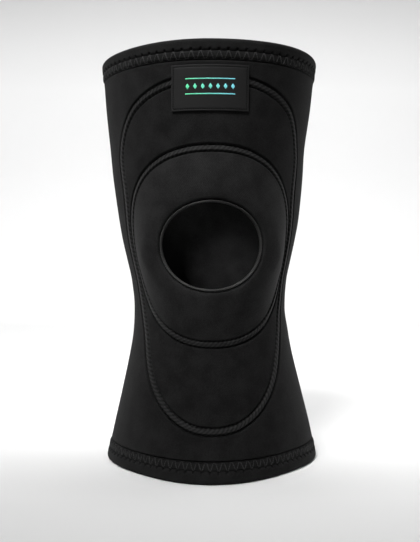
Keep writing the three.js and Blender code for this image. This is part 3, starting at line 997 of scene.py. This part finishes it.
def labelOrnament():
    # plain woven decoration: a row of diamonds between two rules
    middle = labelShape["top"] - labelShape["height"] * ornamentShape["middle"]
    half = (ornamentShape["diamonds"] - 1) / 2 * ornamentShape["spacing"]
    wide, high = ornamentShape["halfWidth"], ornamentShape["halfHeight"]
    parts = []
    for k in range(ornamentShape["diamonds"]):
        u = labelShape["centre"] - half + k * ornamentShape["spacing"]
        corners = [(u, middle - high), (u + wide, middle), (u, middle + high), (u - wide, middle)]
        parts.append(wovenPatch("diamond", corners))
    reach = half + ornamentShape["ruleOverhang"]
    left, right = labelShape["centre"] - reach, labelShape["centre"] + reach
    for side in (-1, 1):
        bottom = middle + side * ornamentShape["ruleGap"] - ornamentShape["ruleHeight"] / 2
        top = bottom + ornamentShape["ruleHeight"]
        parts.append(wovenPatch("rule", [(left, bottom), (right, bottom), (right, top), (left, top)]))
    return joined("labelOrnament", parts)


ornament = labelOrnament()
print("stage: label sewn on")


# materials
def hexColour(code):
    # sRGB hex to the linear values that the shaders take
    channels = [int(code[i:i + 2], 16) / 255 for i in (1, 3, 5)]
    return tuple(c / 12.92 if c <= 0.04045 else ((c + 0.055) / 1.055) ** 2.4 for c in channels) + (1,)


def newMaterial(name):
    material = bpy.data.materials.new(name)
    material.use_nodes = True
    material.node_tree.nodes.clear()
    return material


def addNode(material, kind, links=None, values=None, **settings):
    # a node with its settings, its fixed values and what feeds it
    node = material.node_tree.nodes.new(kind)
    for key, value in settings.items():
        setattr(node, key, value)
    for key, value in (values or {}).items():
        node.inputs[key].default_value = value
    for key, (source, output) in (links or {}).items():
        material.node_tree.links.new(source.outputs[output], node.inputs[key])
    return node


def waveScale(pitch):
    # a wave texture's bands lie 0.314 / scale apart
    return 0.314 / (pitch * millimetre)


def summed(m, first, second, operation="ADD"):
    return addNode(m, "ShaderNodeMath", {0: first, 1: second}, operation=operation), 0


def grain(m, scale, detail=2.0):
    place = addNode(m, "ShaderNodeTexCoord")
    values = {"Scale": scale, "Detail": detail}
    return addNode(m, "ShaderNodeTexNoise", {"Vector": (place, "Object")}, values), "Fac"


def reliefOf(m, height, strength, distance):
    values = {"Strength": strength, "Distance": distance}
    return addNode(m, "ShaderNodeBump", {"Height": height}, values), "Normal"


def inRange(m, value, values):
    return addNode(m, "ShaderNodeMapRange", {"Value": value}, values), "Result"


def twoShades(m, share, first, second):
    shades = {6: hexColour(first), 7: hexColour(second)}
    return addNode(m, "ShaderNodeMix", {"Factor": share}, shades, data_type="RGBA"), 2


def surfaceOf(m, links, values):
    # the last two nodes of every material
    surface = addNode(m, "ShaderNodeBsdfPrincipled", links, values)
    addNode(m, "ShaderNodeOutputMaterial", {"Surface": (surface, "BSDF")})
    return m


bloom = hexColour("#c8c8c6")  # the tint of the loose fibres that catch the light


def knittedFabric(name, look):
    # jersey is knitted from fine nylon: matt, with a soft bright bloom where it turns away
    m = newMaterial(name)
    uv = addNode(m, "ShaderNodeUVMap", uv_map="UVMap")
    wave = {"Scale": waveScale(look["stitchPitch"]), "Distortion": 0.6, "Detail": 1.0, "Detail Scale": 2.0}
    legs = []
    for lean in (0.55, -0.55):  # the two legs of each knitted stitch, in radians
        turned = addNode(m, "ShaderNodeMapping", {"Vector": (uv, "UV")}, {"Rotation": (0, 0, lean)})
        legs.append((addNode(m, "ShaderNodeTexWave", {"Vector": (turned, "Vector")}, wave), "Fac"))
    knit = summed(m, *legs, operation="MAXIMUM")
    fuzz, cloud = grain(m, 1400.0), grain(m, 90.0, 4.0)
    shadeRange = inRange(m, summed(m, cloud, fuzz), {"From Min": 0.78, "From Max": 1.22})
    worn = {"To Min": look["rough"] - 0.06, "To Max": look["rough"] + 0.06}
    return surfaceOf(m, {
        "Base Color": twoShades(m, shadeRange, look["dark"], look["light"]),
        "Roughness": inRange(m, cloud, worn),
        "Normal": reliefOf(m, summed(m, knit, fuzz), look["bump"], 0.00012),
    }, {"Specular IOR Level": look["specular"], "Sheen Weight": look["sheen"],
        "Sheen Roughness": 0.45, "Sheen Tint": bloom})


def spunThread(name, look):
    # textured polyester thread: many loose filaments, so it is fuzzy and a little lighter than the cloth
    m = newMaterial(name)
    uv = addNode(m, "ShaderNodeUVMap", uv_map="UVMap")
    twist = {"Scale": waveScale(look["plyPitch"]), "Distortion": 1.5, "Detail": 2.0}
    ply = addNode(m, "ShaderNodeTexWave", {"Vector": (uv, "UV")}, twist, bands_direction="DIAGONAL"), "Fac"
    fuzz = grain(m, 1900.0)
    shadeRange = inRange(m, summed(m, ply, fuzz, "MULTIPLY"), {"From Max": 0.6})
    return surfaceOf(m, {
        "Base Color": twoShades(m, shadeRange, look["dark"], look["light"]),
        "Normal": reliefOf(m, summed(m, ply, fuzz), look["bump"], 0.0001),
    }, {"Roughness": look["rough"], "Specular IOR Level": look["specular"],
        "Sheen Weight": look["sheen"], "Sheen Roughness": 0.4, "Sheen Tint": bloom})


def wovenSatin(name, look):
    # a damask label: fine threads packed flat, with a faint silky gloss
    m = newMaterial(name)
    uv = addNode(m, "ShaderNodeUVMap", uv_map="UVMap")
    threads = []
    for coarser, direction in ((1, "Y"), (1.6, "X")):  # warp, then weft
        scale = {"Scale": waveScale(look["threadPitch"] * coarser)}
        wave = addNode(m, "ShaderNodeTexWave", {"Vector": (uv, "UV")}, scale, bands_direction=direction)
        threads.append((wave, "Fac"))
    if "leftColour" in look:
        across = addNode(m, "ShaderNodeSeparateXYZ", {"Vector": (uv, "UV")})
        half = labelShape["width"] / 3 * millimetre
        share = inRange(m, (across, "X"), {"From Min": -half, "From Max": half})
        colour = twoShades(m, share, look["leftColour"], look["rightColour"])
    else:
        colour = twoShades(m, threads[0], look["dark"], look["light"])
    return surfaceOf(m, {
        "Base Color": colour,
        "Normal": reliefOf(m, summed(m, *threads), 0.25, 0.00006),
    }, {"Roughness": look["rough"], "Specular IOR Level": look["specular"], "Sheen Weight": look["sheen"]})


nylonJersey = knittedFabric("black nylon jersey on neoprene", {
    "dark": "#0f0f0f", "light": "#1b1b1b",
    "rough": 0.85, "specular": 0.07, "sheen": 0.003, "bump": 0.5, "stitchPitch": 0.9})
padJersey = knittedFabric("black nylon jersey on moulded pad", {
    "dark": "#121212", "light": "#1f1f1f",
    "rough": 0.8, "specular": 0.08, "sheen": 0.003, "bump": 0.5, "stitchPitch": 0.9})
bindingJersey = knittedFabric("black nylon binding", {
    "dark": "#1a1a1a", "light": "#292928",
    "rough": 0.55, "specular": 0.25, "sheen": 0.02, "bump": 0.25, "stitchPitch": 0.9})
seamThread = spunThread("black textured polyester seam thread", {
    "dark": "#101010", "light": "#2a2a2a",
    "rough": 0.75, "specular": 0.12, "sheen": 0.008, "bump": 0.5, "plyPitch": 1.5})
labelThread = spunThread("matt black polyester sewing thread", {
    "dark": "#050505", "light": "#0b0b0b",
    "rough": 0.9, "specular": 0.05, "sheen": 0.0, "bump": 0.3, "plyPitch": 0.6})
coverThread = spunThread("black polyester floss, worn grey", {
    "dark": "#1c1c1c", "light": "#3a3a3a",
    "rough": 0.7, "specular": 0.12, "sheen": 0.01, "bump": 0.4, "plyPitch": 0.6})
labelSatin = wovenSatin("black woven damask", {
    "dark": "#161616", "light": "#202020", "rough": 0.62, "specular": 0.12, "sheen": 0.01, "threadPitch": 0.5})
ornamentThread = wovenSatin("mint and pale blue satin weft", {
    "leftColour": "#5fe3a0", "rightColour": "#7fd6e8",
    "rough": 0.45, "specular": 0.4, "sheen": 0.05, "threadPitch": 0.4})

finishes = (
    (sleeveBody, nylonJersey, "body_jersey", ("sleeve_shell",)),
    (frontPanel, nylonJersey, "body_jersey", ("front_panel",)),
    (topHem, nylonJersey, "body_jersey", ("top_hem",)),
    (bottomHem, nylonJersey, "body_jersey", ("bottom_hem",)),
    (kneeCup, padJersey, "cup_jersey", ("knee_cup",)),
    (openingBinding, bindingJersey, "rim_binding", ("opening_rim",)),
    (panelRib, seamThread, "seam_thread", ("panel_seam",)),
    (cupRib, seamThread, "seam_thread", ("cup_seam",)),
    (panelStitches, seamThread, "seam_thread", ()),
    (cupStitches, seamThread, "seam_thread", ()),
    (openingStitches, seamThread, "seam_thread", ()),
    (topHemStitches, coverThread, "seam_thread", ("top_hem_stitching",)),
    (bottomHemStitches, coverThread, "seam_thread", ("bottom_hem_stitching",)),
    (label, labelSatin, "label_satin", ("label",)),
    (labelStitches, labelThread, "label_satin", ()),
    (ornament, ornamentThread, "label_satin", ()),
)
for piece, material, slotName, nodes in finishes:
    piece.data.materials.clear()
    piece.data.materials.append(material)
    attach(piece, "root")
    if nodes:
        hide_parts(*nodes)

rimGirth = hemGirth(sleeveHeight) * millimetre
print("stage: finishes on")

# studio
studio = {
    "floorHalfWidth": 3.0,
    "floorFront": -2.2,
    "wallAt": 1.6,
    "wallHeight": 3.0,
    "curve": 0.4,
    # painted shade: how white the paper is at metres behind the sleeve's axis, and at metres up the wall, darker
    # near the camera and high on the wall where less light reaches
    "floorPaintedShades": ((-0.4, "#a0a0a0"), (-0.2, "#c8c8c8"), (-0.1, "#dadada"),
                    (0, "#dedede"), (1, "#e4e4e4"), (1.2, "#eeeeee")),
    "wallPaintedShades": ((0.4, "#eeeeee"), (0.6, "#e4e4e4"), (0.7, "#d6d6d6"), (0.84, "#bbbbbb"), (1.1, "#a0a0a0")),
    "worldStrength": 0.07,
    "cardRadius": 0.052,
    "cardHeight": 0.27,
}


def paperWithPaintedShade():
    # studio paper, white in the middle, with painted shade that fades it to pale grey near the camera and high
    # on the wall
    m = newMaterial("matt paper with painted shade")
    place = addNode(m, "ShaderNodeTexCoord")
    split = addNode(m, "ShaderNodeSeparateXYZ", {"Vector": (place, "Object")})
    ramps = {}
    for axis, stops in (("Y", studio["floorPaintedShades"]), ("Z", studio["wallPaintedShades"])):
        start, end = stops[0][0], stops[-1][0]
        share = inRange(m, (split, axis), {"From Min": start, "From Max": end})
        ramps[axis] = addNode(m, "ShaderNodeValToRGB", {"Fac": share})
        elements = ramps[axis].color_ramp.elements
        elements.remove(elements[1])
        for metres, shade in stops:
            element = elements[0] if metres == start else elements.new((metres - start) / (end - start))
            element.color = hexColour(shade)
    both = addNode(m, "ShaderNodeMix", {6: (ramps["Y"], "Color"), 7: (ramps["Z"], "Color")}, {0: 1.0},
                   data_type="RGBA", blend_type="DARKEN")
    return surfaceOf(m, {"Base Color": (both, 2)}, {"Roughness": 0.9, "Specular IOR Level": 0.05})


def selectAtWall(sweep):
    # picks the edge where the floor meets the wall, and stays in edit mode
    bpy.ops.mesh.select_all(action="DESELECT")
    bpy.ops.mesh.select_mode(type="VERT")
    bpy.ops.object.mode_set(mode="OBJECT")
    for vertex in sweep.data.vertices:
        vertex.select = vertex.co.y > studio["wallAt"] - 0.01 and vertex.co.z < 0.01
    bpy.ops.object.mode_set(mode="EDIT")


def makeBackdrop():
    # a paper sweep: a floor that curves up into a wall
    bpy.ops.mesh.primitive_plane_add(size=1)
    sweep = bpy.context.object
    sweep.name = sweep.data.name = "paperSweep"
    depth = studio["wallAt"] - studio["floorFront"]
    bpy.ops.object.mode_set(mode="EDIT")
    bpy.ops.mesh.select_all(action="SELECT")
    bpy.ops.transform.resize(value=(studio["floorHalfWidth"] * 2, depth, 1))
    bpy.ops.transform.translate(value=(0, (studio["wallAt"] + studio["floorFront"]) / 2, 0))
    selectAtWall(sweep)
    bpy.ops.mesh.extrude_region_move(TRANSFORM_OT_translate={"value": (0, 0, studio["wallHeight"])})
    selectAtWall(sweep)
    bpy.ops.mesh.bevel(offset=studio["curve"], segments=24, profile=0.5)
    bpy.ops.mesh.select_all(action="SELECT")
    bpy.ops.mesh.normals_make_consistent(inside=True)
    bpy.ops.object.mode_set(mode="OBJECT")
    bpy.ops.object.shade_smooth()
    sweep.data.materials.append(paperWithPaintedShade())
    sweep.select_set(False)


makeBackdrop()

# a black card inside the top of the tube keeps the key light off the cloth seen through the opening
bpy.ops.mesh.primitive_circle_add(vertices=48, radius=studio["cardRadius"], fill_type="NGON",
                                  location=(0, 0, studio["cardHeight"]))
card = bpy.context.object
card.name = card.data.name = "blackCard"
card.visible_camera = False
blackCard = newMaterial("black foam card")
surfaceOf(blackCard, {}, {"Base Color": hexColour("#050505"), "Roughness": 1.0})
card.data.materials.append(blackCard)
card.select_set(False)

world = bpy.data.worlds.new("soft studio")
world.use_nodes = True
sky = world.node_tree.nodes["Background"].inputs
sky["Color"].default_value = (1, 1, 1, 1)
sky["Strength"].default_value = studio["worldStrength"]
bpy.context.scene.world = world

softboxes = (
    {"name": "keyBox", "at": (-0.22, -0.52, 0.88), "aim": (0, 0, 0.3),
     "size": (0.4, 0.4), "power": 1.15, "spread": 40},
    {"name": "frontBox", "at": (-0.5, -1.6, 0.55), "aim": (0.02, 0.05, 0.12),
     "size": (0.3, 0.3), "power": 2.6, "spread": 180},
    {"name": "leftBox", "at": (-0.8, 0.5, 0.08), "aim": (0, 0, 0.13),
     "size": (0.35, 0.12), "power": 2.7, "spread": 180},
    {"name": "rightBox", "at": (0.8, 0.5, 0.1), "aim": (0, 0, 0.14),
     "size": (0.35, 0.12), "power": 2.6, "spread": 180},
    {"name": "wallBox", "at": (0, 0.4, 2.0), "aim": (0, 1.5, 0.4),
     "size": (2.4, 0.8), "power": 56, "spread": 180},
)
snoot = {
    "at": (-0.1, -0.9, 0.24),
    "aim": (0, -0.066, 0.142),
    "power": 36,
    "cone": 4.2,
    "softEdge": 1,
    "radius": 0.01,
}


def aimLamp(lamp, aim):
    lamp.rotation_euler = (lamp.location - Vector(aim)).to_track_quat("Z", "Y").to_euler()


for box in softboxes:
    bpy.ops.object.light_add(type="AREA", location=box["at"])
    lamp = bpy.context.object
    lamp.name = box["name"]
    lamp.data.shape = "RECTANGLE"
    lamp.data.size, lamp.data.size_y = box["size"]
    lamp.data.energy = box["power"]
    lamp.data.spread = math.radians(box["spread"])
    lamp.visible_camera = False
    aimLamp(lamp, box["aim"])

# a lamp with a snoot reaches through the opening, onto the cloth behind it
bpy.ops.object.light_add(type="SPOT", location=snoot["at"])
lamp = bpy.context.object
lamp.name = "snootLamp"
lamp.data.energy = snoot["power"]
lamp.data.spot_size = math.radians(snoot["cone"])
lamp.data.spot_blend = snoot["softEdge"]
lamp.data.shadow_soft_size = snoot["radius"]
aimLamp(lamp, snoot["aim"])

# the photograph is 420 by 542, seen from a little above the sleeve's middle
photo = {
    "width": 420,
    "height": 542,
    "focalPixels": 771,
    "aimRow": 255,
    "distance": 0.549,
    "cameraHeight": 0.1424,
}
bpy.ops.object.camera_add(location=(0, -photo["distance"], photo["cameraHeight"]))
camera = bpy.context.object
camera.name = "photoCamera"
camera.data.sensor_width = 36
camera.data.lens = photo["focalPixels"] * camera.data.sensor_width / photo["height"]
dip = math.atan((photo["height"] / 2 - photo["aimRow"]) / photo["focalPixels"])
camera.rotation_euler = (math.pi / 2 - dip, 0, 0)
bpy.context.scene.camera = camera
bpy.context.scene.view_settings.view_transform = "Standard"
print("stage: studio lit")
